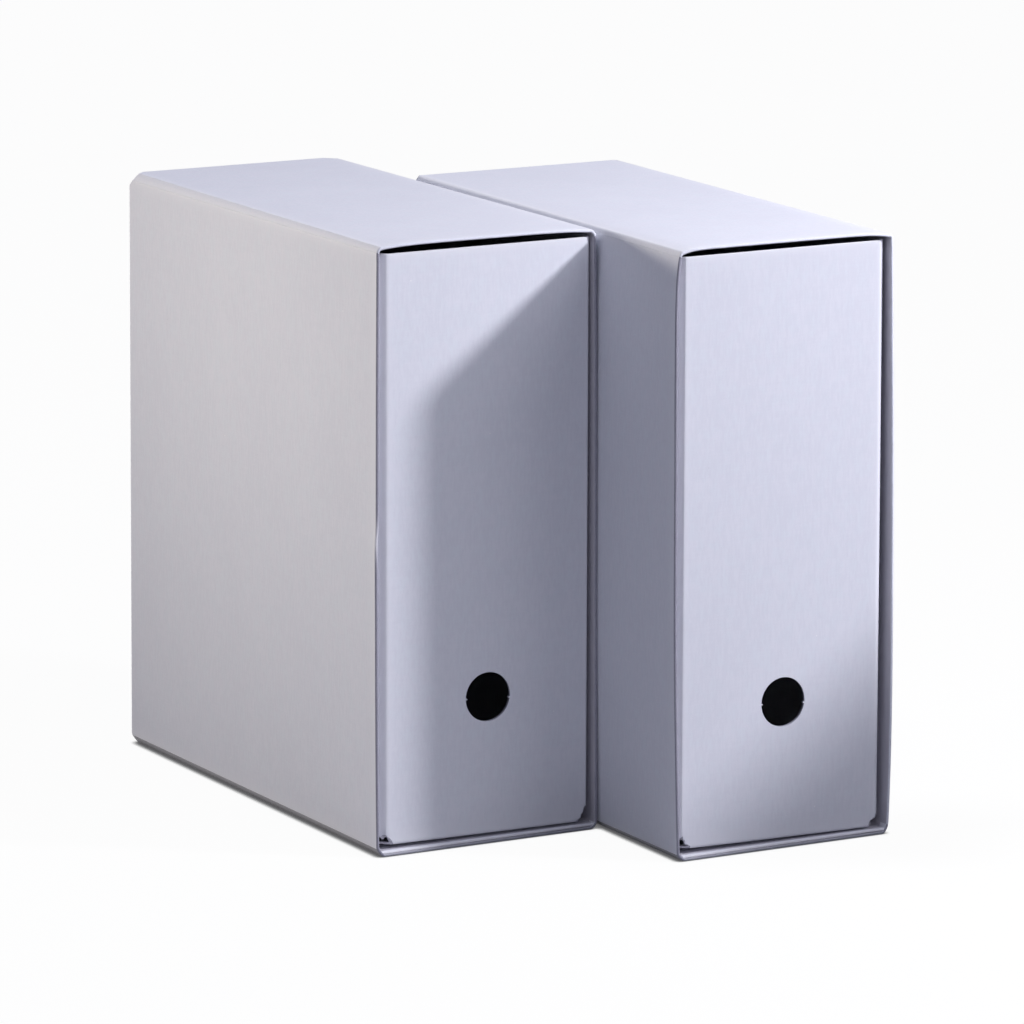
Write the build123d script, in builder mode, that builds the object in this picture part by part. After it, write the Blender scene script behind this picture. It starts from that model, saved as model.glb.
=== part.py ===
from build123d import *
import os

# A pair of magazine holders in folded solid board, standing side by side.
# Each holder is an outer case, open at its front, and an open-topped file
# that slides out of it by a finger hole. All sizes are in millimetres.
# X runs along the fronts to the right, Y to the back and Z up. The origin is
# on the table, at the middle of the box that goes round both holders.

# board and folds
board = 1.5                # thickness of the solid board
fold_radius = 3.5          # outside of a case's folds
back_fold_tightening = 0.5  # the folds round a case's back are this much sharper
foot_fold_radius = 2.0     # outside of the folds round a file's bottom
fold_facet = 3.2           # a file's upright folds are scored twice, so they are flats this wide and deep
corner_relief = 9.0        # cut off along each edge where three folds meet

# case
case_width = 128.0
case_depth = 292.0
case_height = 320.0
lap_margin = 4.0           # from the left wall to the free edge of the bottom's upper layer
lap_setback = 0.5          # the upper layer stops this far behind the lower one

# file
side_clearance = 1.0
top_clearance = 1.4
back_clearance = 1.0
seat_clearance = 0.3       # running gap between the file and the case's bottom
front_recess = 2.5         # the file's front stands this far inside the case's mouth

# finger hole, with the two nibs that the punch leaves at its sides
finger_hole_diameter = 26.0
finger_hole_rise = 74.0    # from the file's underside to the hole's centre
nib_length = 1.0
nib_height = 0.8
left_nib_drop = 0.2        # below the hole's middle
right_nib_drop = 1.6

# how the two holders stand
stagger = 81.0             # the right holder stands this far in front of the left one
wall_clearance = 0.3       # least gap between the walls that bulge towards each other

# The walls of a case bulge at its mouth and are flat at its back. Each bulge is
# its height and the place of its peak, as a share of the way along the wall,
# from the bottom up or from the left to the right.
left_holder_bulges = {"left": (0.8, 0.3), "right": (3.0, 0.72), "top": (2.2, 0.6)}
right_holder_bulges = {"left": (3.0, 0.46), "right": (2.3, 0.5), "top": (2.2, 0.6)}
flat_walls = {"left": (0.0, 0.5), "right": (0.0, 0.5), "top": (0.0, 0.5)}
bulge_fullness = 2.6       # slope at a wall's ends; 2 is a parabola, and more is fuller
flat_run = 12.0            # the walls are flat over this much of the case's depth, at its back

# sizes that follow
bulge_run = case_depth - flat_run
bulge_left_at_rear_mouth = right_holder_bulges["left"][0] * max(0, 1 - stagger / bulge_run)
holder_gap = left_holder_bulges["right"][0] + bulge_left_at_rear_mouth + wall_clearance
left_overhang = left_holder_bulges["left"][0]
right_overhang = right_holder_bulges["right"][0]
total_width = left_overhang + 2 * case_width + holder_gap + right_overhang
total_depth = case_depth + stagger
left_holder_x = left_overhang - total_width / 2
right_holder_x = left_holder_x + case_width + holder_gap
right_holder_y = -total_depth / 2
left_holder_y = right_holder_y + stagger

back_fold_radius = fold_radius - back_fold_tightening
file_width = case_width - 2 * (board + side_clearance)
file_depth = case_depth - front_recess - board - back_clearance
file_base = 2 * board + seat_clearance
file_height = case_height - board - top_clearance - file_base
finger_hole_radius = finger_hole_diameter / 2
nib_reach = finger_hole_radius - nib_length / 2


def bulged_wall(start, end, outward, bulge):
    """One wall of the outline, from fold to fold, straight where its bulge is zero."""
    height, share = bulge
    start, outward = Vector(*start), Vector(*outward)
    along = Vector(*end) - start
    peak = start + along * share + outward * height
    slope = outward * height * bulge_fullness
    leaving = along * share + slope
    arriving = along * (1 - share) - slope
    Spline(start, peak, start + along, tangents=(leaving, along, arriving))


def tube_profile(x, y, inset, bulges):
    """The outline of a case across its depth, drawn on the plane at y."""
    left, right = x + inset, x + case_width - inset
    low, high = inset, case_height - inset
    radius = fold_radius - inset
    foot, head = low + radius, high - radius
    start, end = left + radius, right - radius
    with BuildSketch(Plane.XZ.offset(-y)) as profile:
        with BuildLine():
            Line((start, low), (end, low))
            CenterArc((end, foot), radius, -90, 90)
            bulged_wall((right, foot), (right, head), (1, 0), bulges["right"])
            CenterArc((end, head), radius, 0, 90)
            bulged_wall((start, high), (end, high), (0, 1), bulges["top"])
            CenterArc((start, head), radius, 90, 90)
            bulged_wall((left, foot), (left, head), (-1, 0), bulges["left"])
            CenterArc((start, foot), radius, 180, 90)
        make_face()
    return profile.sketch


def tapered_block(x, y, inset, bulges):
    """A closed body from the bulged mouth to the flat back, its back edges rounded."""
    flat_start = y + bulge_run
    with BuildPart() as block:
        with BuildSketch(Plane.XZ.offset(-flat_start)):
            with Locations((x + case_width / 2, case_height / 2)):
                RectangleRounded(case_width - 2 * inset, case_height - 2 * inset, fold_radius - inset)
        extrude(amount=inset - flat_run)
        fillet(block.faces().sort_by(Axis.Y)[-1].edges(), back_fold_radius - inset)
        add(tube_profile(x, y, inset, bulges))
        add(tube_profile(x, flat_start, inset, flat_walls))
        loft(ruled=True)
    return block.part


def cut_corner(corner, outward):
    """Takes off a three-fold corner with a plane that meets each edge at corner_relief."""
    direction = Vector(*outward).normalized()
    depth = corner_relief / 3**0.5
    split(bisect_by=Plane(Vector(*corner) - direction * depth, z_dir=direction), keep=Keep.BOTTOM)


def build_case(x, y, bulges):
    """The outer case: four walls and a back, with the bottom in two glued layers."""
    outside = tapered_block(x, y, 0, bulges)
    inside = tapered_block(x, y, board, bulges)
    lap_start, lap_end = x + board + lap_margin, x + case_width - board
    lap_front, lap_back = y + lap_setback, y + case_depth - board
    with BuildPart() as case:
        add(outside)
        add(inside, mode=Mode.SUBTRACT)
        with BuildSketch(Plane.XY.offset(board)):
            with Locations(((lap_start + lap_end) / 2, (lap_front + lap_back) / 2)):
                Rectangle(lap_end - lap_start, lap_back - lap_front)
        extrude(amount=board)
        for side in (0, 1):
            for level in (0, 1):
                corner = (x + side * case_width, y + case_depth, level * case_height)
                cut_corner(corner, (2 * side - 1, 1, 2 * level - 1))
    return case


def build_file(x, y):
    """The open-topped file: one blank folded up on four sides, with a finger hole."""
    left, front = x + board + side_clearance, y + front_recess
    centre = (left + file_width / 2, front + file_depth / 2)
    with BuildPart() as file:
        with BuildSketch(Plane.XY.offset(file_base)):
            with Locations(centre):
                Rectangle(file_width, file_depth)
        extrude(amount=file_height)
        chamfer(file.edges().filter_by(Axis.Z), fold_facet)
        fillet(file.faces().sort_by(Axis.Z)[0].edges(), foot_fold_radius)
        offset(amount=-board, openings=file.faces().sort_by(Axis.Z)[-1])
        with BuildSketch(Plane.XZ.offset(-front)):
            with Locations((centre[0], file_base + finger_hole_rise)):
                Circle(finger_hole_radius)
                with Locations((-nib_reach, -left_nib_drop), (nib_reach, -right_nib_drop)):
                    Rectangle(nib_length, nib_height, mode=Mode.SUBTRACT)
        extrude(amount=-2 * board, mode=Mode.SUBTRACT)
        for side in (0, 1):
            for end in (0, 1):
                corner = (left + side * file_width, front + end * file_depth, file_base)
                cut_corner(corner, (2 * side - 1, 2 * end - 1, -1))
    return file


os.makedirs("parts", exist_ok=True)

left_case = build_case(left_holder_x, left_holder_y, left_holder_bulges)
left_file = build_file(left_holder_x, left_holder_y)
right_case = build_case(right_holder_x, right_holder_y, right_holder_bulges)
right_file = build_file(right_holder_x, right_holder_y)

pieces = {
    "left_case": left_case,
    "left_file": left_file,
    "right_case": right_case,
    "right_file": right_file,
}
for name, piece in pieces.items():
    piece.part.label = name
    export_step(piece.part, f"parts/{name}.step")

least_gap = left_case.part.distance_to(right_case.part)
print("holder gap", round(holder_gap, 2), "least gap between cases", round(least_gap, 2))
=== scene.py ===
import math
import bmesh
import bpy
from mathutils import Matrix, Vector, noise


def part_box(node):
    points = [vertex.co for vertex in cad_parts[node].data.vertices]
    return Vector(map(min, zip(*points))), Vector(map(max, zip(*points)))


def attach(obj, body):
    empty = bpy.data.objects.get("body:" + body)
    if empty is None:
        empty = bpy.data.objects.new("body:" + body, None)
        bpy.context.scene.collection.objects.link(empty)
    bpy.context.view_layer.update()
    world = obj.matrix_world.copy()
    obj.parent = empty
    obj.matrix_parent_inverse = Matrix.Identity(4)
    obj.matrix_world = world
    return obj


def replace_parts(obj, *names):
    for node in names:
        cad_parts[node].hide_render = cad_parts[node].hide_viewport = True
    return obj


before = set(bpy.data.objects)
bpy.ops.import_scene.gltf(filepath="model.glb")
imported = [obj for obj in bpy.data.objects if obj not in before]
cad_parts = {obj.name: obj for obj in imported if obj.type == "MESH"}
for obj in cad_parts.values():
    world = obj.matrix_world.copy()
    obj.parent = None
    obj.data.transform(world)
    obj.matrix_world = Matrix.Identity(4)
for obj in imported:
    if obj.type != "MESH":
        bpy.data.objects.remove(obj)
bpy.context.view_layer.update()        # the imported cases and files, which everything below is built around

mm = 0.001

# Lengths are millimetres and angles are degrees, unless a note says otherwise.
board = {
    "thickness": 1.5,
    "rolledEdge": 0.9,      # the knife rolls the outer side of a cut edge over
    "easedEdge": 0.35,      # and leaves its inner side nearly square
    "fray": 0.07,           # fibres that stand up along a cut edge
    "frayReach": 0.15,      # and how far back from the edge they do
    "skinStarts": 0.3,      # the skin begins this far back from a cut edge
    "swayHeight": 0.16,     # a wall is never quite flat
    "swayLength": 95.0,
    # where a wall has points: this far from its folds, and at these shares of a fold's flat
    "besideFold": (0.0, 0.3, 0.7, 1.3, 2.4, 4.2),
    "acrossFold": (0.0, 0.1, 0.3, 0.5, 0.7, 0.9, 1.0),
}
stocks = {"skin": 0, "inside": 1, "edge": 2, "paleEdge": 3, "shadedFold": 4, "footEdge": 5}
quarterTurn = [math.radians(angle) for angle in (0, 18, 36, 54, 72, 90)]


def nodeBox(name):
    low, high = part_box(name)
    return Vector(low) / mm, Vector(high) / mm


def foldLegs(legs, inset):
    # the inner skin's flat keeps the slope of the outer one, and is shorter
    across, down = legs
    spread = math.hypot(1 / across, 1 / down)
    return (max(0.1, across + inset * (across * spread - across / down - 1)),
            max(0.1, down + inset * (down * spread - down / across - 1)))


def stations(length, step):
    # shares of a wall's length, close together beside its folds
    near = [d for d in board["besideFold"] if d < length / 4]
    start = near[-1]
    count = max(1, round((length - 2 * start) / step))
    middle = [start + (length - 2 * start) * i / count for i in range(1, count)]
    return [d / length for d in near + middle] + [1 - d / length for d in reversed(near)]


def walkOutline(size, folds, inset, steps, leans=None):
    # goes round a rectangle with flats for corners: left wall up, far wall, right wall down, near wall
    width, height = size
    legs = {name: foldLegs(fold, inset) for name, fold in folds.items()}
    left, right, low, high = inset, width - inset, inset, height - inset
    corners = [Vector(corner) for corner in (
        (left, low + legs["footLeft"][1]), (left, high - legs["topLeft"][1]),
        (left + legs["topLeft"][0], high), (right - legs["topRight"][0], high),
        (right, high - legs["topRight"][1]), (right, low + legs["footRight"][1]),
        (right - legs["footRight"][0], low), (left + legs["footLeft"][0], low),
    )]
    if leans:
        order = ("footLeft", "topLeft", "topLeft", "topRight",
                 "topRight", "footRight", "footRight", "footLeft")
        corners = [corner + leans[name] for corner, name in zip(corners, order)]
    names = ["left", "foldTopLeft", "top", "foldTopRight", "right", "foldFootRight", "foot", "foldFootLeft"]
    lengths = {"left": height, "top": width, "right": height, "foot": width}
    alongs = [corners[(i + 1) % 8] - corners[i] for i in range(8)]
    normals = [Vector((-along.y, along.x)).normalized() for along in alongs]
    walk = []
    for i, name in enumerate(names):
        folded = name.startswith("fold")
        shares = board["acrossFold"] if folded else stations(lengths[name], steps[name])
        for k, share in enumerate(shares[:-1]):
            out = normals[i] if k else (normals[i] + normals[i - 1]).normalized()
            walk.append({
                "wall": name, "folded": folded, "share": share, "out": out,
                "at": corners[i] + alongs[i] * share,
                "toFold": min(share, 1 - share) * alongs[i].length,
            })
    return walk


def bulgeAt(bulge, share):
    height, peak, fullBefore, fullAfter = bulge
    if share < peak:
        return height * (1 - (1 - share / peak) ** fullBefore)
    return height * (1 - ((share - peak) / (1 - peak)) ** fullAfter)


def scoreAt(toFold, form):
    return -form["scoreDepth"] * math.exp(-(toFold / form["scoreWidth"]) ** 2)


def bowAt(share, height):
    return height * 4 * share * (1 - share)


def wornAt(spot, form):
    # how rubbed the skin is, on a fold or beside one
    return form["foldWear"] * (1.0 if spot["folded"] else math.exp(-spot["toFold"] / form["wearBeside"]))


def swayAt(point, share, salt):
    # walls only sway inwards, so that they stay clear of their neighbours
    hold = math.sin(math.pi * share) ** 0.6
    drift = noise.noise(point / board["swayLength"] + Vector((salt, 2.3 * salt, 0)))
    return -board["swayHeight"] * hold * abs(drift)


def frayAt(point, salt):
    coarse = noise.noise(point * 0.9 + Vector((salt, 0, 0)))
    return board["fray"] * abs(coarse + 0.6 * noise.noise(point * 2.7))


def rimProfile(roll):
    # over a cut edge, from its inner side round its rolled outer side: how far in, and how far back
    flat = [(board["thickness"] - board["easedEdge"], 0.0), (roll + 0.12, 0.0)]
    return flat + [(roll * (1 - math.sin(turn)), roll * (1 - math.cos(turn))) for turn in quarterTurn[:-1]]


def foldProfile(radius, inset=0.0):
    # round a fold, from its wall to the panel across the end: how far in, and how far short of the end
    return [(inset + radius * (1 - math.cos(turn)), inset + radius * (1 - math.sin(turn)))
            for turn in quarterTurn]


def skinRings(rings):
    # joins equal rings of points one after another, and closes both ends
    count = len(rings[0]["points"])
    points = [point * mm for ring in rings for point in ring["points"]]
    wear = [value for ring in rings for value in ring["wear"]]
    faces, stock = [], []
    for j, ring in enumerate(rings[:-1]):
        for k in range(count):
            nextK = (k + 1) % count
            faces.append((j * count + k, j * count + nextK, (j + 1) * count + nextK, (j + 1) * count + k))
            stock.append(ring["stock"][k])
    last = len(points) - count
    faces += [tuple(range(count)), tuple(range(last, last + count))]
    stock += [rings[0]["stock"][0], rings[-1]["stock"][0]]
    return points, faces, stock, wear


def makePiece(name, skin, materials):
    points, faces, stock, wear = skin
    mesh = bpy.data.meshes.new(name)
    mesh.from_pydata(points, [], faces)
    for material in materials:
        mesh.materials.append(material)
    mesh.polygons.foreach_set("material_index", stock)
    paled = mesh.attributes.new("foldWear", "FLOAT", "POINT")
    paled.data.foreach_set("value", wear)
    mesh.validate()
    piece = bpy.data.objects.new(name, mesh)
    bpy.context.scene.collection.objects.link(piece)
    turnOutward(piece)
    return piece


def turnOutward(piece):
    net = bmesh.new()
    net.from_mesh(piece.data)
    bmesh.ops.recalc_face_normals(net, faces=net.faces)
    net.to_mesh(piece.data)
    net.free()


def softenShading(piece, angle=38):
    mesh = piece.data
    mesh.polygons.foreach_set("use_smooth", [True] * len(mesh.polygons))
    mesh.set_sharp_from_angle(angle=math.radians(angle))
    mesh.update()


def cornerCut(corner, outward, relief, tear):
    # takes a corner off along a plane that meets its three edges at the relief, with a torn surface
    over, count = 3.0, 16
    tips = []
    for axis in range(3):
        first, second = [other for other in range(3) if other != axis]
        tip = Vector((-over, -over, -over))
        tip[axis] = relief[axis] * (1 + over / relief[first] + over / relief[second])
        tips.append(tip)
    normal = Vector([1 / reach for reach in relief]).normalized()
    points, rows, faces = [Vector((-2 * over, -2 * over, -2 * over))], {}, []
    for i in range(count + 1):
        for j in range(count + 1 - i):
            spot = (tips[0] * i + tips[1] * j + tips[2] * (count - i - j)) / count
            rows[i, j] = len(points)
            points.append(spot + normal * tear * noise.noise(spot * 0.9 + Vector(corner) * 0.1))
    for i in range(count):
        for j in range(count - i):
            faces.append((rows[i, j], rows[i + 1, j], rows[i, j + 1]))
            if i + j < count - 1:
                faces.append((rows[i + 1, j], rows[i + 1, j + 1], rows[i, j + 1]))
    for k in range(count):
        faces.append((0, rows[k, 0], rows[k + 1, 0]))
        faces.append((0, rows[0, k], rows[0, k + 1]))
        faces.append((0, rows[k, count - k], rows[k + 1, count - k - 1]))
    points = [Vector([c - o * i for c, o, i in zip(corner, outward, spot)]) * mm for spot in points]
    return points, faces


def carve(piece, tools, edgeStock):
    points, faces = [], []
    for toolPoints, toolFaces in tools:
        base = len(points)
        points += toolPoints
        faces += [tuple(base + i for i in face) for face in toolFaces]
    mesh = bpy.data.meshes.new("cutters")
    mesh.from_pydata(points, [], faces)
    mesh.materials.append(edgeStock)
    cutter = bpy.data.objects.new("cutters", mesh)
    bpy.context.scene.collection.objects.link(cutter)
    turnOutward(cutter)
    cut = piece.modifiers.new("cut", "BOOLEAN")
    cut.operation, cut.solver, cut.object, cut.material_mode = "DIFFERENCE", "EXACT", cutter, "TRANSFER"
    seen = piece.evaluated_get(bpy.context.evaluated_depsgraph_get())
    carved = bpy.data.meshes.new_from_object(seen)
    piece.modifiers.clear()
    piece.data = carved
    bpy.data.objects.remove(cutter)


# Materials. Shader maths is written as sums of wrapped sockets.
class Flow:
    def __init__(self, recipe, socket):
        self.recipe, self.socket = recipe, socket

    def step(self, operation, *values):
        return self.recipe.add("ShaderNodeMath", {"operation": operation}, dict(enumerate(values)))

    def __add__(self, other):
        return self.step("ADD", self, other)

    def __sub__(self, other):
        return self.step("SUBTRACT", self, other)

    def __rsub__(self, other):
        return self.step("SUBTRACT", other, self)

    def __mul__(self, other):
        return self.step("MULTIPLY", self, other)

    __radd__, __rmul__ = __add__, __mul__


class Recipe:
    def __init__(self, owner, outlet="ShaderNodeOutputMaterial"):
        owner.use_nodes = True
        self.owner, self.tree = owner, owner.node_tree
        self.tree.nodes.clear()
        self.result = self.tree.nodes.new(outlet)

    def add(self, kind, settings=None, inputs=None, output=0):
        node = self.tree.nodes.new(kind)
        for key, value in (settings or {}).items():
            setattr(node, key, value)
        for key, value in (inputs or {}).items():
            if isinstance(value, Flow):
                self.tree.links.new(value.socket, node.inputs[key])
            else:
                node.inputs[key].default_value = value
        return Flow(self, node.outputs[output])

    def blend(self, factor, first, second):
        # a colour mix: its factor is input 0, and its two colours are inputs 6 and 7
        return self.add("ShaderNodeMix", {"data_type": "RGBA"}, {0: factor, 6: first, 7: second}, 2)

    def spread(self, value, low, high, toLow=0.0, toHigh=1.0):
        settings = {"interpolation_type": "SMOOTHSTEP"}
        return self.add("ShaderNodeMapRange", settings, {0: value, 1: low, 2: high, 3: toLow, 4: toHigh})

    def scaled(self, place, scale):
        return self.add("ShaderNodeVectorMath", {"operation": "MULTIPLY"}, {0: place, 1: scale})

    def millimetres(self, seed):
        # the piece's own coordinates, in millimetres, moved on by a seed
        metres = self.add("ShaderNodeTexCoord", None, None, 3)
        place = self.scaled(metres, (1000.0, 1000.0, 1000.0))
        moved = (seed, 2 * seed, 3 * seed)
        return self.add("ShaderNodeVectorMath", {"operation": "ADD"}, {0: place, 1: moved})

    def cloudy(self, place, scale, detail, roughness=0.5):
        inputs = {"Vector": place, "Scale": scale, "Detail": detail, "Roughness": roughness}
        return self.add("ShaderNodeTexNoise", None, inputs)

    def flecks(self, place, scale, core, rim):
        # small round spots, one in each cell
        cells = self.add("ShaderNodeTexVoronoi", None, {"Vector": place, "Scale": scale})
        return self.spread(cells, core, rim, 1.0, 0.0)

    def foldWear(self):
        return self.add("ShaderNodeAttribute", {"attribute_name": "foldWear"}, None, 2)

    def seenDirectly(self):
        kinds = ("Camera", "Glossy", "Transmission")
        rays = [self.add("ShaderNodeLightPath", None, None, f"Is {kind} Ray") for kind in kinds]
        return rays[0] + rays[1] + rays[2]

    def finish(self, shader):
        self.tree.links.new(shader.socket, self.result.inputs["Surface"])
        return self.owner


boardLook = {
    "skin": (0.80, 0.81, 0.875),
    "shade": (0.745, 0.755, 0.825),     # where the skin is a little denser
    "cool": (0.775, 0.815, 0.875),      # faint clouds in it
    "paled": (0.92, 0.925, 0.955),       # along the folds, where the skin wears, and on the bottom lap's front as a painted highlight
    "fleck": (0.95, 0.95, 0.97),
    "smut": (0.52, 0.51, 0.53),
    "shares": {"cool": 0.5, "shade": 0.7, "paled": 0.8, "fleck": 0.8, "smut": 0.35},
    "roughness": (0.57, 0.69),
    # how fine the skin's patterns are for each millimetre, and across, deep and up where they run one way
    "fibres": (0.75, 0.75, 0.16),
    "weft": (0.06, 0.06, 0.85),
    "grain": 1.7,
    "clouds": 0.022,
    "mist": 0.14,
    "flecks": 0.045,
    "smuts": 0.040,
    # tones that the skin's colours are multiplied by
    # painted shade: the case's inside is darkened for the dim hollow behind its mouth
    "caseInsideShadeTone": (0.74, 0.715, 0.73),
    "shadedFoldTone": (0.42, 0.415, 0.42),  # the left foot fold, which the case stands and slides on and which faces the floor: its skin darkened as painted shade
    # painted light: the left file's skin is made lighter and the right file's darker, for how the lamps fall
    # on their fronts
    "fileLightTones": {"left": (1.06, 1.06, 1.055), "right": (0.97, 0.97, 0.975)},
    "fileInsideTone": (0.84, 0.83, 0.82),
    # the cut edge: its core, and how dark the core goes between its fibres
    "core": (0.40, 0.40, 0.47),
    "coreDark": (0.26, 0.255, 0.31),
    "footCore": (0.45, 0.46, 0.51),
    "footCoreDark": (0.34, 0.335, 0.38),
    # a paler copy of the cut edge, for edges that face the light: a painted highlight
    "paleCore": (0.80, 0.825, 0.90),
    "paleCoreDark": (0.62, 0.62, 0.67),
}


def boardSkin(name, tone, seed):
    # matt paper skin: upright fibres crossed by a fainter weft, clouded, with a few flecks
    recipe = Recipe(bpy.data.materials.new(name))
    place = recipe.millimetres(seed)
    fibre = recipe.cloudy(recipe.scaled(place, boardLook["fibres"]), 1.0, 4.0, 0.6)
    weft = recipe.cloudy(recipe.scaled(place, boardLook["weft"]), 1.0, 3.0, 0.55)
    grain = recipe.cloudy(place, boardLook["grain"], 2.0)
    cloud = recipe.cloudy(place, boardLook["clouds"], 3.0)
    mist = recipe.spread(recipe.cloudy(place, boardLook["mist"], 3.0), 0.42, 0.62)
    speck = recipe.flecks(place, boardLook["flecks"], 0.012, 0.022)
    smut = recipe.flecks(recipe.scaled(place, (1.3, 1.1, 0.9)), boardLook["smuts"], 0.008, 0.017)
    # the skin pales where it wears along folds and mouths, and on the bottom lap's front as a painted
    # highlight
    palingMask = recipe.foldWear() * recipe.spread(grain * 0.5 + fibre * 0.5, 0.35, 0.62, 0.4, 1.0)
    patch = recipe.spread(fibre * 0.50 + weft * 0.13 + grain * 0.19 + cloud * 0.18, 0.40, 0.60)

    def toned(key):
        return tuple(c * t for c, t in zip(boardLook[key], tone)) + (1,)

    colour = toned("skin")
    masks = {"cool": mist, "shade": patch, "paled": palingMask, "fleck": speck, "smut": smut}
    for key, mask in masks.items():
        colour = recipe.blend(mask * boardLook["shares"][key], colour, toned(key))
    relief = fibre * 0.6 + weft * 0.2 + grain * 0.35
    normal = recipe.add("ShaderNodeBump", None, {"Strength": 0.34, "Distance": 0.0001, "Height": relief})
    rough = recipe.spread(grain, 0.3, 0.7, *boardLook["roughness"]) - palingMask * 0.08
    return recipe.finish(recipe.add("ShaderNodeBsdfPrincipled", None, {
        "Base Color": colour, "Roughness": rough, "Normal": normal, "Specular IOR Level": 0.32}))


def boardEdge(name, core, dark, seed):
    # the raw cut edge, torn into short fibres, pale where it is frayed, and on the bottom lap's front edge
    # as a painted highlight
    recipe = Recipe(bpy.data.materials.new(name))
    place = recipe.millimetres(seed)
    shred = recipe.cloudy(place, 1.6, 5.0, 0.7)
    blot = recipe.cloudy(place, 0.12, 2.0)
    mask = recipe.spread(shred * 0.7 + blot * 0.3, 0.42, 0.66)
    colour = recipe.blend(mask * 0.5, boardLook[core] + (1,), boardLook[dark] + (1,))
    colour = recipe.blend(recipe.foldWear() * 0.85, colour, boardLook["paled"] + (1,))
    normal = recipe.add("ShaderNodeBump", None, {"Strength": 0.5, "Distance": 0.0002, "Height": shred})
    rough = recipe.spread(shred, 0.3, 0.7, 0.8, 0.95)
    return recipe.finish(recipe.add("ShaderNodeBsdfPrincipled", None, {
        "Base Color": colour, "Roughness": rough, "Normal": normal, "Specular IOR Level": 0.2}))


caseSkin = boardSkin("caseBoardSkin", (1.0, 1.0, 1.0), 0.0)
# the case's inside: its skin darkened as painted shade for the dim hollow
caseInside = boardSkin("caseBoardInside", boardLook["caseInsideShadeTone"], 31.0)
fileSkins = {}
for side, tone in boardLook["fileLightTones"].items():
    fileSkins[side] = boardSkin(side + "FileBoardSkin", tone, 57.0)
fileInside = boardSkin("fileBoardInside", boardLook["fileInsideTone"], 83.0)
# the left foot fold's skin, darkened as painted shade
shadedFoldSkin = boardSkin("caseBoardShadedFold", boardLook["shadedFoldTone"], 47.0)
cutEdge = boardEdge("boardCutEdge", "core", "coreDark", 11.0)
# the pale copy of the cut edge is a painted highlight, for edges that face the light
paleEdge = boardEdge("boardPaleEdge", "paleCore", "paleCoreDark", 23.0)
footEdge = boardEdge("boardFootEdge", "footCore", "footCoreDark", 19.0)
print("materials")


# An outer case: how the board is folded, and what the photograph's two cases do at their mouths.
caseForm = {
    "sideRoom": 1.0,        # between the file and a side wall
    "topRoom": 1.4,
    "flatRun": 12.0,        # the walls are flat over this much at the back
    "swayFade": 30.0,       # and their sway dies away over this much
    "backFold": 3.0,
    "backMargin": 5.0,      # the back panel is quite flat from here in
    "footRelief": (5.5, 7.5, 7.0),      # cut off the back's lower corners, across, deep and up
    "tear": 0.12,
    "litFoldRun": 9.0,       # the inside of the right foot fold takes the paler outer skin this far in, as a painted highlight where it catches the light
    "foldBow": 0.35,        # the flats between two scores are slightly round
    "topFoldBow": 0.5,
    "scoreDepth": 0.16,
    "scoreWidth": 0.55,
    # a score's depth on each wall, against scoreDepth: the top's stand proud
    "scoreShares": {"foot": 0.5, "top": -0.7, "foldTopLeft": -0.7, "foldTopRight": -0.7},
    "foldWear": 0.8,
    "wearBeside": 2.6,      # how far the wear reaches beside a fold
    "mouthWear": 3.0,       # and back from the mouth
    "tornFray": 3.0,        # a torn edge is frayed this much more
    "wallStep": 2.6,
    "mouthRings": (1.3, 2.2, 3.6, 6.0, 10.0, 15.0),
    "depthStep": 7.0,
    "backStep": 0.6,
}
caseSides = {
    # folds: a flat between two scores, how far it reaches across and how far down
    # leans: how far each corner of the mouth stands off a true rectangle
    # foldsBehind: the folds at the back, where they differ from those at the mouth
    # leansBehind: the leans at the back, where it isn't true
    # bulges: height, where the peak is from the bottom up or from the left, how full it is before and after
    # topRelief: cut off the back's upper corners, across, deep and up
    # paleWalls: walls whose cut edges take the pale copy, a painted highlight where the light falls on them
    "left": {
        "salt": 3.0,
        "paleWalls": ("top", "foldTopLeft", "foldTopRight"),
        "folds": {
            "topLeft": (2.4, 2.8), "topRight": (2.6, 3.2), "footRight": (3.2, 3.1), "footLeft": (3.9, 4.7),
        },
        "foldsBehind": {"topLeft": (3.2, 3.8)},
        "leans": {
            "topLeft": (0.4, 0.8), "topRight": (1.2, 0.6), "footRight": (4.0, 0.0), "footLeft": (0.4, 0.0),
        },
        "leansBehind": {"topLeft": (0.6, 0.0), "footLeft": (-0.6, 0.0)},
        "topRelief": (11.5, 11.5, 9.0),
        "bulges": {
            "left": (0.6, 0.30, 2.2, 2.2), "right": (0.45, 0.78, 1.0, 2.0), "top": (1.45, 0.48, 5.0, 5.0),
        },
    },
    "right": {
        "salt": 17.0,
        "paleWalls": ("top", "foldTopLeft", "foldTopRight", "right"),
        "folds": {
            "topLeft": (2.2, 2.5), "topRight": (1.9, 2.2), "footRight": (2.8, 4.8), "footLeft": (3.9, 3.7),
        },
        "foldsBehind": {"topLeft": (3.8, 1.7)},
        "leans": {
            "topLeft": (-1.8, 0.3), "topRight": (-1.6, 0.0), "footRight": (1.1, 0.0), "footLeft": (0.0, 0.0),
        },
        "leansBehind": {},
        "topRelief": (5.0, 8.0, 6.0),
        "bulges": {
            "left": (2.4, 0.44, 1.8, 14.0), "right": (2.0, 0.40, 3.0, 1.6), "top": (1.75, 0.50, 12.0, 7.0),
        },
    },
}
# a knock on the left case's left wall: below it the mouth stands out a little, and its edge is torn pale
leftWallKink = {
    "height": 171.0,
    "swing": 0.7,
    "band": 9.0,
    "fade": 26.0,           # backwards
    "drop": 90.0,           # downwards
    "tornAt": 168.0,
    "tornRun": 9.0,
}


def kinkAt(height, depth):
    kink = leftWallKink
    rise = 1 / (1 + math.exp((height - kink["height"]) / kink["band"] * 4))
    drop = math.exp(-max(0, kink["height"] - height) / kink["drop"])
    return kink["swing"] * rise * drop * math.exp(-depth / kink["fade"])


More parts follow.
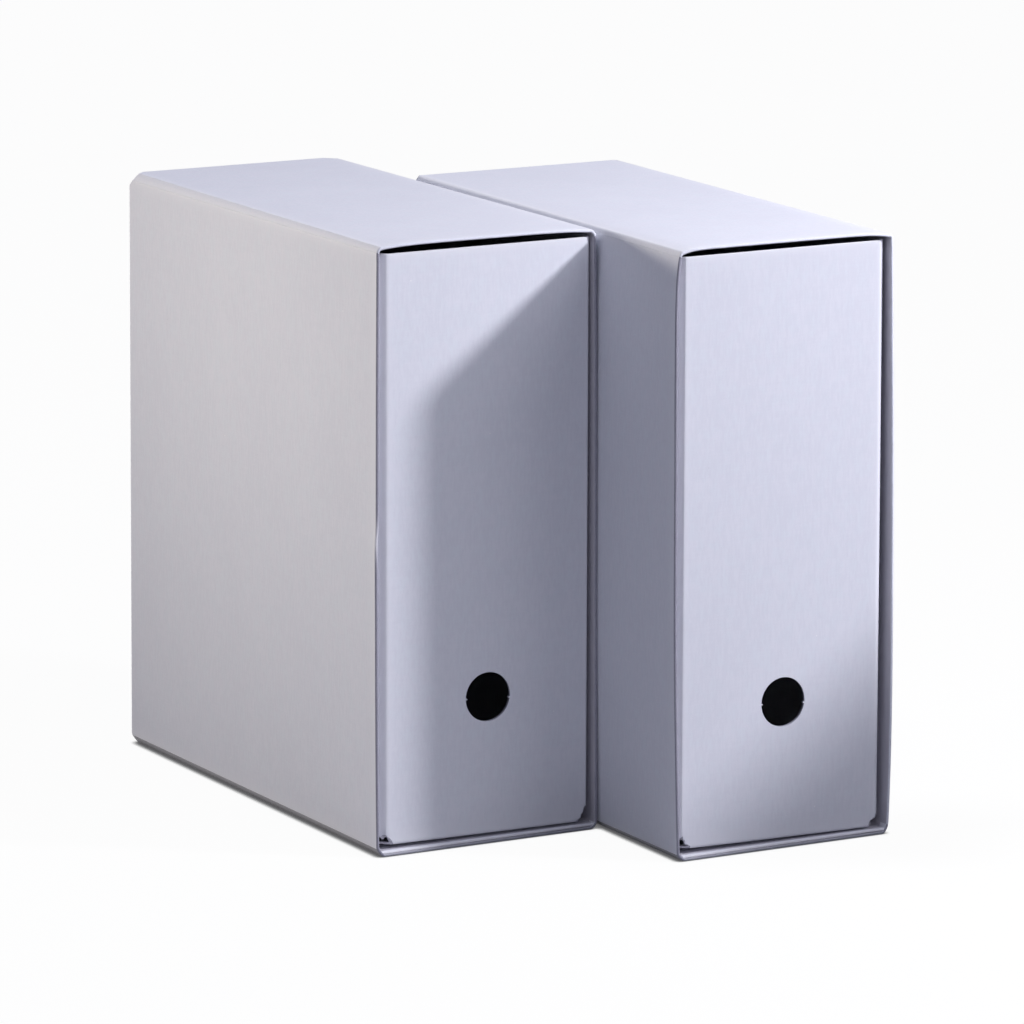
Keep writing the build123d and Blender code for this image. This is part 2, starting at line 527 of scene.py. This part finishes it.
def tornAt(height):
    return math.exp(-((height - leftWallKink["tornAt"]) / leftWallKink["tornRun"]) ** 2)


def cornersBetween(own, fade):
    # a ring's folds and leans, between those behind and those of the mouth
    folds, leans = {}, {}
    for name, fold in own["folds"].items():
        folds[name] = Vector(own["foldsBehind"].get(name, fold)).lerp(Vector(fold), fade)
        leans[name] = Vector(own["leansBehind"].get(name, (0, 0))).lerp(Vector(own["leans"][name]), fade)
    return folds, leans


def caseStock(own, wall, stock, back):
    # what shows at a place on a case, where it isn't its ring's own stock
    # painted highlight: cut edges on walls that face the light take the pale copy
    if stock == "edge" and wall in own["paleWalls"]:
        return "paleEdge"
    if stock == "edge" and wall == "foot":
        return "footEdge"
    # painted highlight: near the mouth the right foot fold's inside keeps the outer skin
    if stock == "inside" and wall == "foldFootRight" and back < caseForm["litFoldRun"]:
        return "skin"
    if stock == "skin" and wall == "left" and back < board["rolledEdge"]:
        return "edge"
    # painted shade: the left foot fold, which faces the floor, takes the darkened skin
    if stock == "skin" and wall == "foldFootLeft":
        return "shadedFold"
    return stock


def buildCase(side):
    low, high = nodeBox(side + "_case")
    fileLow, fileHigh = nodeBox(side + "_file")
    thick, fold, rolled = board["thickness"], caseForm["backFold"], board["rolledEdge"]
    x0 = fileLow.x - thick - caseForm["sideRoom"]
    x1 = fileHigh.x + thick + caseForm["sideRoom"]
    size = (x1 - x0, fileHigh.z + thick + caseForm["topRoom"])
    depth = high.y - low.y
    steps = dict.fromkeys(("left", "top", "right", "foot"), caseForm["wallStep"])
    own = caseSides[side]

    def ring(back, inset, stock, outer=False, rim=False):
        points, wear, stockList = [], [], []
        fade = max(0.0, 1 - back / (depth - caseForm["flatRun"]))
        folds, leans = cornersBetween(own, fade)
        for spot in walkOutline(size, folds, inset, steps, leans):
            wall, share, out = spot["wall"], spot["share"], spot["out"]
            at = Vector((x0 + spot["at"].x, back, spot["at"].y))
            knocked = side == "left" and wall == "left"
            push = 0.0
            if wall in own["bulges"]:
                along = 1 - share if wall == "right" else share
                push += bulgeAt(own["bulges"][wall], along) * fade
                push += swayAt(at, share, own["salt"]) * min(1, (depth - back) / caseForm["swayFade"])
            if spot["folded"]:
                push += bowAt(share, caseForm["topFoldBow" if "Top" in wall else "foldBow"])
            if outer:
                push += scoreAt(spot["toFold"], caseForm) * caseForm["scoreShares"].get(wall, 1.0)
            if knocked:
                push += kinkAt(at.z, back)
            torn = tornAt(at.z) if knocked and back < rolled else 0.0
            frayed = frayAt(at, own["salt"]) * (1 + caseForm["tornFray"] * torn) if rim else 0.0
            rise = max(at.z + out.y * push, 0.0)
            points.append(Vector((at.x + out.x * push, low.y + back + frayed, rise)))
            paled = wornAt(spot, caseForm) if inset <= fold else 0.0
            wear.append(torn if back < rolled else max(paled, math.exp(-back / caseForm["mouthWear"])))
            stockList.append(stocks[caseStock(own, wall, stock, back)])
        return {"points": points, "wear": wear, "stock": stockList}

    backs = [rolled] + list(caseForm["mouthRings"])
    run = depth - fold - caseForm["backStep"]
    count = round((run - backs[-1]) / caseForm["depthStep"])
    backs += [backs[-1] + (run - backs[-1]) * (i + 1) / count for i in range(count)]
    margin = fold + caseForm["backMargin"]
    rings = [ring(depth - thick, margin, "inside")]
    for inset, short in reversed(foldProfile(fold - thick, thick)):
        rings.append(ring(depth - short, inset, "inside"))
    rings += [ring(back, thick, "inside") for back in reversed(backs)]
    rings.append(ring(board["easedEdge"], thick, "edge"))
    for inset, back in rimProfile(rolled):
        stock = "edge" if back < board["skinStarts"] else "skin"
        rings.append(ring(back, inset, stock, outer=back > 0, rim=back < board["frayReach"]))
    rings += [ring(back, 0.0, "skin", outer=True) for back in backs]
    rings += [ring(depth - short, inset, "skin", outer=True) for inset, short in foldProfile(fold)]
    rings.append(ring(depth, margin, "skin"))
    materials = [caseSkin, caseInside, cutEdge, paleEdge, shadedFoldSkin, footEdge]
    piece = makePiece(side + "CaseBoard", skinRings(rings), materials)
    corners = []
    for x, outX in ((x0, -1), (x1, 1)):
        corners.append(cornerCut((x, high.y, 0), (outX, 1, -1), caseForm["footRelief"], caseForm["tear"]))
        corners.append(cornerCut((x, high.y, size[1]), (outX, 1, 1), own["topRelief"], caseForm["tear"]))
    carve(piece, corners, cutEdge)
    softenShading(piece)
    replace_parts(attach(piece, "case_pair"), side + "_case")
    print(side, "case", len(piece.data.vertices), "points")
    buildLap(side, x0, x1, low.y, high.y)


# The upper of the bottom's two layers, glued down. Its free edge stops short of the left wall.
lapForm = {
    "salt": 41.0,
    "margin": 2.0,
    "setback": 0.5,
    "backRoom": 0.4,
    "pressed": 0.93,        # its thickness, against the board's
    "glue": 0.03,
    "seam": 0.25,           # opens towards its right end
    "seamRun": 5.0,
    "paleFront": 2.3,       # its top keeps the skin only in front of the file; behind, under the file, it takes the case's inside, darkened as painted shade
    "frayRun": 1.0,
    # a painted highlight along its front, fading back over this much
    "highlightRun": 4.0,
    "columns": 60,
}


def buildLap(side, x0, x1, y0, y1):
    thick, ease = board["thickness"], board["easedEdge"]
    left, right = x0 + thick + lapForm["margin"], x1 - thick
    front, back = y0 + lapForm["setback"], y1 - thick - lapForm["backRoom"]
    reach, unshadedRun = back - front, lapForm["paleFront"]
    # the front edge takes the pale copy of the cut edge: a painted highlight
    profile = [    # how far back, how far up, and the stock from there on
        (0, ease, "paleEdge"), (0, thick - 2 * ease, "paleEdge"), (ease, thick - ease / 2, "paleEdge"),
        (3 * ease, thick, "skin"), (unshadedRun, thick, "inside"), (unshadedRun + 5, thick, "inside"),
        (reach, thick, "inside"), (reach, 0, "skin"), (7, 0, "skin"), (ease, 0, "edge"),
    ]
    lean = caseSides[side]["leans"]["footRight"][0]
    points, wear, faces, stock = [], [], [], []
    columns, count = lapForm["columns"], len(profile)
    for i in range(columns + 1):
        share = i / columns
        for deep, rise, _ in profile:
            x = left + (right + lean * (1 - deep / reach) - left) * share
            frayed = frayAt(Vector((x, deep, rise)), lapForm["salt"]) if deep < lapForm["frayRun"] else 0.0
            seam = lapForm["glue"] + lapForm["seam"] * share * math.exp(-deep / lapForm["seamRun"])
            points.append(Vector((x, front + deep + frayed, thick + seam + rise * lapForm["pressed"])) * mm)
            # its front is paled as a painted highlight
            wear.append(math.exp(-deep / lapForm["highlightRun"]))
    for i in range(columns):
        for k in range(count):
            nextK = (k + 1) % count
            faces.append((i * count + k, i * count + nextK, (i + 1) * count + nextK, (i + 1) * count + k))
            stock.append(stocks[profile[k][2]])
    faces += [tuple(range(count)), tuple(range(columns * count, columns * count + count))]
    stock += [stocks["edge"]] * 2
    materials = [caseSkin, caseInside, cutEdge, paleEdge]
    piece = makePiece(side + "BottomLap", (points, faces, stock, wear), materials)
    softenShading(piece)
    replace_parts(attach(piece, "case_pair"), side + "_case")
    print(side, "bottom lap")


# An open-topped file. Its outline is drawn from above, so its front wall is the outline's foot.
fileForm = {
    "footFold": 1.7,
    "foldBow": 0.12,
    "scoreDepth": 0.16,
    "scoreWidth": 0.55,
    "swayFade": 40.0,       # the walls don't sway at their foot
    "leanRun": 280.0,       # their leans fade over this much towards the back
    "curlDepth": 50.0,
    "curlHeight": 45.0,
    "rolledEdge": 0.5,
    "toothPitch": 1.35,
    "toothDepth": 0.26,
    "foldWear": 0.6,
    "wearBeside": 1.6,      # how far the wear reaches beside a fold
    "topWear": 2.0,         # down from the top edge
    "footWear": 3.0,        # and up from the foot
    "frontRimWear": 0.8,
    "rimWear": 0.3,
    "rearRelief": (9.0, 9.0, 9.0),
    "frontTear": 1.5,
    "rearTear": 0.2,
    "frontStep": 0.62,      # close enough to carry the teeth along the front's top edge
    "wallStep": 4.0,
    "heightStep": 6.5,
    "bottomRings": (50.0, 38.0, 26.0, 16.0, 8.0),
}
fileSides = {
    # sideways: how it stands in its case, which leaves it a millimetre on each side
    # topDrop: how far its top edge is below the solid's
    # leans: how far the left and the right wall stand off true at the front, at the foot and at the top
    # hole: how far the finger hole is off the middle of the front, across and up
    # curl: how far the foot of the front curls up off the case's bottom, at its left and its right
    # frontReliefs: what is cut off the front's lower corners, across, deep and up
    "left": {
        "salt": 29.0,
        "sideways": 0.8,
        "topDrop": 0.4,
        "leans": ((0.0, 0.0), (1.4, 1.0)),
        "hole": (3.0, 1.0),
        "curl": (2.2, 1.0),
        "folds": {
            "topLeft": (3.2, 3.2), "topRight": (3.2, 3.2), "footRight": (1.9, 2.4), "footLeft": (4.1, 3.4),
        },
        "frontReliefs": ((9.5, 9.0, 8.6), (7.4, 9.0, 11.0)),
    },
    "right": {
        "salt": 43.0,
        "sideways": -0.8,
        "topDrop": 0.1,
        "leans": ((0.0, -0.6), (0.0, -1.2)),
        "hole": (0.3, 0.6),
        "curl": (2.6, 0.7),
        "folds": {
            "topLeft": (3.2, 3.2), "topRight": (3.2, 3.2), "footRight": (3.4, 3.0), "footLeft": (2.2, 3.0),
        },
        "frontReliefs": ((8.6, 9.0, 8.6), (8.4, 9.0, 10.0)),
    },
}


def toothAt(along, salt):
    # how deep the knife's teeth bite into the front's top edge
    tooth = 0.5 + 0.5 * math.cos(2 * math.pi * along / fileForm["toothPitch"])
    uneven = 0.6 + 0.8 * abs(noise.noise(Vector((along * 0.3, salt, 0))))
    return fileForm["toothDepth"] * tooth * uneven


def curlAt(curl, across, deep, rise):
    height = curl[0] + (curl[1] - curl[0]) * across ** 0.8
    fade = max(0, 1 - deep / fileForm["curlDepth"]) ** 1.5 * max(0, 1 - rise / fileForm["curlHeight"])
    return height * fade


def buildFile(side):
    low, high = nodeBox(side + "_file")
    size, tall = (high.x - low.x, high.y - low.y), high.z - low.z
    thick, fold = board["thickness"], fileForm["footFold"]
    steps = dict.fromkeys(("left", "top", "right"), fileForm["wallStep"])
    steps["foot"] = fileForm["frontStep"]
    own = fileSides[side]

    def ring(rise, inset, stock, outer=False, rim=False):
        points, wear = [], []
        for spot in walkOutline(size, own["folds"], inset, steps):
            wall, share, out = spot["wall"], spot["share"], spot["out"]
            u, v = spot["at"]
            if spot["folded"]:
                push = bowAt(share, fileForm["foldBow"])
            else:
                push = swayAt(Vector((low.x + u, v, rise)), share, own["salt"])
                push *= min(1, rise / fileForm["swayFade"])
            if outer:
                push += scoreAt(spot["toFold"], fileForm)
            across = min(1, max(0, u / size[0]))
            leftLean, rightLean = (foot + (top - foot) * rise / tall for foot, top in own["leans"])
            lean = (leftLean * (1 - across) + rightLean * across) * max(0, 1 - v / fileForm["leanRun"])
            x = low.x + own["sideways"] + lean + u + out.x * push
            point = Vector((x, low.y + v + out.y * push, low.z + rise))
            if rim:
                point.z -= frayAt(point, own["salt"])
            if rim and wall == "foot":
                point.z -= toothAt(u, own["salt"])
            point.z += curlAt(own["curl"], across, v, rise) - own["topDrop"] * rise / tall
            points.append(point)
            footWorn = fileForm["foldWear"] * math.exp(-max(0, rise - fold) / fileForm["footWear"])
            paled = max(wornAt(spot, fileForm), footWorn, math.exp(-(tall - rise) / fileForm["topWear"]))
            if rim:
                paled = fileForm["frontRimWear" if wall == "foot" else "rimWear"]
            wear.append(paled)
        return {"points": points, "wear": wear, "stock": [stocks[stock]] * len(points)}

    # the walls' rings: even ones from 2 above the foot's fold to 4 below the top, and a few closer ones
    count = round((tall - fold - 8) / fileForm["heightStep"])
    rises = [fold + 0.6] + [fold + 2 + (tall - fold - 6) * i / count for i in range(count + 1)]
    rises += [tall - 1.8, tall - fileForm["rolledEdge"]]
    rings = [ring(thick, inset, "inside") for inset in fileForm["bottomRings"]]
    rings += [ring(short, inset, "inside") for inset, short in reversed(foldProfile(fold - thick, thick))]
    rings += [ring(rise, thick, "inside") for rise in rises]
    # the file's rim takes the pale copy of the cut edge: a painted highlight
    rings.append(ring(tall - board["easedEdge"], thick, "paleEdge"))
    for inset, down in rimProfile(fileForm["rolledEdge"]):
        rings.append(ring(tall - down, inset, "paleEdge", outer=down > 0, rim=down < board["frayReach"]))
    rings += [ring(rise, 0.0, "skin", outer=True) for rise in reversed(rises)]
    rings += [ring(short, inset, "skin", outer=True) for inset, short in foldProfile(fold)]
    rings += [ring(0.0, inset, "skin") for inset in reversed(fileForm["bottomRings"])]
    materials = [fileSkins[side], fileInside, cutEdge, paleEdge]
    piece = makePiece(side + "FileBoard", skinRings(rings), materials)
    holeAcross, holeUp = own["hole"]
    holeAt = Vector(((low.x + high.x) / 2 + holeAcross, low.y, low.z + holeForm["rise"] + holeUp))
    carve(piece, [punchThrough(holeAt)], cutEdge)
    x0, x1 = low.x + own["sideways"], high.x + own["sideways"] + own["leans"][1][0]
    corners = []
    for i, x in enumerate((x0, x1)):
        curled, outX = low.z + own["curl"][i], 2 * i - 1
        reliefs = own["frontReliefs"][i], fileForm["rearRelief"]
        corners.append(cornerCut((x, low.y, curled), (outX, -1, -1), reliefs[0], fileForm["frontTear"]))
        corners.append(cornerCut((x, high.y, low.z), (outX, 1, -1), reliefs[1], fileForm["rearTear"]))
    carve(piece, corners, cutEdge)
    softenShading(piece)
    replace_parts(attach(piece, side + "_inner"), side + "_file")
    print(side, "file", len(piece.data.vertices), "points")


# The finger hole: a round punched through the front, with a nib left standing at each side.
holeForm = {
    "diameter": 26.2,
    "rise": 74.0,
    "punchDepth": 6.0,
    "steps": 60,
    "nibLength": 1.0,
    "nibHeight": 0.8,
    "nibDrop": {"left": 0.2, "right": 1.6},     # below the hole's middle
    # the two points of a nib's torn tip: shares of its length in, and of half its height up
    "nibTip": ((1.0, -0.7), (0.8, 0.8)),
}


def punchThrough(centre):
    radius, halfNib = holeForm["diameter"] / 2, holeForm["nibHeight"] / 2

    def edgePoint(sign, rise):
        return sign * math.sqrt(radius ** 2 - rise ** 2), rise

    def arc(start, end):
        span = (end - start) % (2 * math.pi)
        turns = [start + span * i / holeForm["steps"] for i in range(1, holeForm["steps"])]
        return [(radius * math.cos(turn), radius * math.sin(turn)) for turn in turns]

    nibs = {}
    for sign, name in ((1, "right"), (-1, "left")):
        level = -holeForm["nibDrop"][name]
        tip = [(sign * (radius - holeForm["nibLength"] * inward), level + halfNib * upward)
               for inward, upward in holeForm["nibTip"]]
        nibs[name] = [edgePoint(sign, level - halfNib)] + tip + [edgePoint(sign, level + halfNib)]
    rightLow, rightHigh = (math.atan2(nibs["right"][i][1], nibs["right"][i][0]) for i in (0, 3))
    leftLow, leftHigh = (math.atan2(nibs["left"][i][1], nibs["left"][i][0]) for i in (0, 3))
    outline = nibs["right"] + arc(rightHigh, leftHigh) + nibs["left"][::-1] + arc(leftLow, rightLow)
    count, depth = len(outline), holeForm["punchDepth"]
    points = [(centre + Vector((x, y, z))) * mm for y in (-depth, depth) for x, z in outline]
    faces = [tuple(range(count)), tuple(reversed(range(count, 2 * count)))]
    faces += [(k, count + k, count + (k + 1) % count, (k + 1) % count) for k in range(count)]
    return points, faces


for side in ("left", "right"):
    buildCase(side)
    buildFile(side)


# The floor throws a grey light at the object, and is seen as white, with a painted contact shade close to
# the object, found by an occlusion test, and a faint share of the lamps' light that carries the object's
# shadow.
floorLook = {
    "size": 14.0,                       # metres
    "bounce": (0.30, 0.305, 0.325),
    "unlitShare": 0.96,                 # how much of the white that is seen doesn't depend on the lamps
    "litWhite": (0.9, 0.9, 0.9),
    "contactReach": 0.0045,             # metres
    "contactBand": (0.25, 0.9),
    "contactShade": (0.11, 0.11, 0.115),
}


def flatSheet(name, corners, material):
    mesh = bpy.data.meshes.new(name)
    mesh.from_pydata(corners, [], [(0, 1, 2, 3)])
    mesh.materials.append(material)
    sheet = bpy.data.objects.new(name, mesh)
    bpy.context.scene.collection.objects.link(sheet)
    return sheet


def layFloor():
    recipe = Recipe(bpy.data.materials.new("paleFloor"))
    inputs = {"Distance": floorLook["contactReach"]}
    contact = recipe.add("ShaderNodeAmbientOcclusion", {"samples": 12}, inputs, 1)
    shade = floorLook["contactShade"] + (1,)
    white = recipe.blend(recipe.spread(contact, *floorLook["contactBand"]), shade, (1, 1, 1, 1))
    glow = recipe.add("ShaderNodeEmission", None, {"Color": white, "Strength": 1.0})
    bounce = recipe.add("ShaderNodeBsdfDiffuse", None, {"Color": floorLook["bounce"] + (1,)})
    pale = recipe.add("ShaderNodeBsdfDiffuse", None, {"Color": floorLook["litWhite"] + (1,)})
    lit = recipe.add("ShaderNodeMixShader", None, {0: floorLook["unlitShare"], 1: pale, 2: glow})
    recipe.finish(recipe.add("ShaderNodeMixShader", None, {0: recipe.seenDirectly(), 1: bounce, 2: lit}))
    half = floorLook["size"] / 2
    corners = [(-half, -half, 0), (half, -half, 0), (half, half, 0), (-half, half, 0)]
    flatSheet("floor", corners, recipe.owner)


skyLook = {"colour": (0.81, 0.82, 0.99), "horizon": 0.07, "zenith": 0.60}


def openSky():
    world = bpy.data.worlds.new("studio")
    bpy.context.scene.world = world
    recipe = Recipe(world, "ShaderNodeOutputWorld")
    towards = recipe.add("ShaderNodeTexCoord")
    climb = recipe.add("ShaderNodeSeparateXYZ", None, {0: towards}, 2)
    level = {0: climb, 3: skyLook["horizon"], 4: skyLook["zenith"]}
    strength = recipe.add("ShaderNodeMapRange", None, level)
    sky = recipe.add("ShaderNodeBackground", None, {"Color": skyLook["colour"] + (1,), "Strength": strength})
    white = recipe.add("ShaderNodeBackground", None, {"Color": (1, 1, 1, 1), "Strength": 1.0})
    recipe.finish(recipe.add("ShaderNodeMixShader", None, {0: recipe.seenDirectly(), 1: sky, 2: white}))


# Lamps: degrees turned from the fronts towards the right and degrees raised, then metres away, metres wide
# and watts. The key is a small hard lamp, the soft box stands beside it, and the side lamp is behind the
# left case's left wall, and points this share of the way back along it.
sideLampAim = 0.3
lamps = {
    "keyLamp": {"turn": 51.8, "rise": 30.8, "reach": 1.12, "size": 0.130, "power": 12.6,
                "colour": (0.985, 0.975, 1.045), "spread": 180.0},
    "softBox": {"turn": 33.0, "rise": 38.0, "reach": 1.7, "size": 0.9, "power": 5.4,
                "colour": (0.96, 0.96, 1.05), "spread": 180.0},
    "sideLamp": {"turn": -125.0, "rise": 3.0, "reach": 2.2, "size": 0.3, "power": 0.83,
                 "colour": (1.0, 0.92, 0.81), "spread": 30.0},
}
# a black card before the key lamp keeps the right front's lower corner in shade; in metres
flag = {
    "fromCase": 0.003,      # from the case's box to the front's left side
    "ends": ((0.117, 0.088), (0.030, 0.021)),   # of its shadow's edge on the front: from that side, and up
    "past": 0.06,           # its shadow's edge runs on past both ends
    "width": 0.085,
    "share": 1 / 3,         # how far from the front to the lamp it hangs
}


def hangLamp(name, target):
    own = lamps[name]
    turn, rise = math.radians(own["turn"]), math.radians(own["rise"])
    towards = Vector((math.sin(turn) * math.cos(rise), -math.cos(turn) * math.cos(rise), math.sin(rise)))
    data = bpy.data.lights.new(name, "AREA")
    data.shape, data.size, data.energy, data.color = "DISK", own["size"], own["power"], own["colour"]
    data.spread = math.radians(own["spread"])
    lamp = bpy.data.objects.new(name, data)
    lamp.location = target + towards * own["reach"]
    lamp.rotation_mode = "QUATERNION"
    lamp.rotation_quaternion = (-towards).to_track_quat("-Z", "Y")
    lamp.visible_camera = False
    bpy.context.scene.collection.objects.link(lamp)
    return lamp.location.copy()


def hangFlag(keyPlace, front):
    recipe = Recipe(bpy.data.materials.new("blackCard"))
    recipe.finish(recipe.add("ShaderNodeBsdfDiffuse", None, {"Color": (0.01, 0.01, 0.01, 1)}))
    first, second = (front + Vector((across, 0, up)) for across, up in flag["ends"])
    along = (first - second).normalized()
    aside = Vector((along.z, 0, -along.x))
    ends = (first + along * flag["past"], second - along * flag["past"])
    edge = [point + (keyPlace - point) * flag["share"] for point in ends]
    far = [point + aside * flag["width"] for point in edge]
    card = flatSheet("blackCard", [edge[0], edge[1], far[1], far[0]], recipe.owner)
    card.visible_camera = False
    card.visible_glossy = False


def lightStudio():
    openSky()
    layFloor()
    rightLow, rightHigh = (Vector(corner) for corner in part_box("right_case"))
    corner = Vector((rightLow.x, rightLow.y, rightHigh.z))      # its shadow crosses the left file
    keyPlace = hangLamp("keyLamp", corner)
    hangLamp("softBox", corner)
    leftLow, leftHigh = (Vector(corner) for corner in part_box("left_case"))
    back = leftLow.y * (1 - sideLampAim) + leftHigh.y * sideLampAim
    hangLamp("sideLamp", Vector((leftLow.x, back, leftHigh.z)))
    hangFlag(keyPlace, Vector((rightLow.x + flag["fromCase"], rightLow.y, 0)))


# The camera, as fitted to the outlines: its place from the left case's front left foot, in metres.
lens = {
    "place": (-1.5759, -2.9823, 0.8765),
    "yaw": 29.035, "pitch": 11.608, "roll": 0.223, "millimetres": 235.84,
}


def placeCamera():
    fileLow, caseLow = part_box("left_file")[0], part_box("left_case")[0]
    foot = Vector((fileLow[0] - (board["thickness"] + caseForm["sideRoom"]) * mm, caseLow[1], 0))
    yaw, pitch, roll = (math.radians(lens[key]) for key in ("yaw", "pitch", "roll"))
    ahead = Vector((math.sin(yaw) * math.cos(pitch), math.cos(yaw) * math.cos(pitch), -math.sin(pitch)))
    right = Vector((math.cos(yaw), -math.sin(yaw), 0))
    up = right.cross(ahead)
    rolledRight = right * math.cos(roll) + up * math.sin(roll)
    rolledUp = up * math.cos(roll) - right * math.sin(roll)
    data = bpy.data.cameras.new("camera")
    data.lens, data.sensor_width = lens["millimetres"], 36.0
    data.clip_start, data.clip_end = 0.1, 50.0
    camera = bpy.data.objects.new("camera", data)
    turn = Matrix((rolledRight, rolledUp, -ahead)).transposed()
    camera.matrix_world = Matrix.Translation(foot + Vector(lens["place"])) @ turn.to_4x4()
    bpy.context.scene.collection.objects.link(camera)
    bpy.context.scene.camera = camera


lightStudio()
placeCamera()
bpy.context.scene.view_settings.view_transform = "Standard"
print("studio")
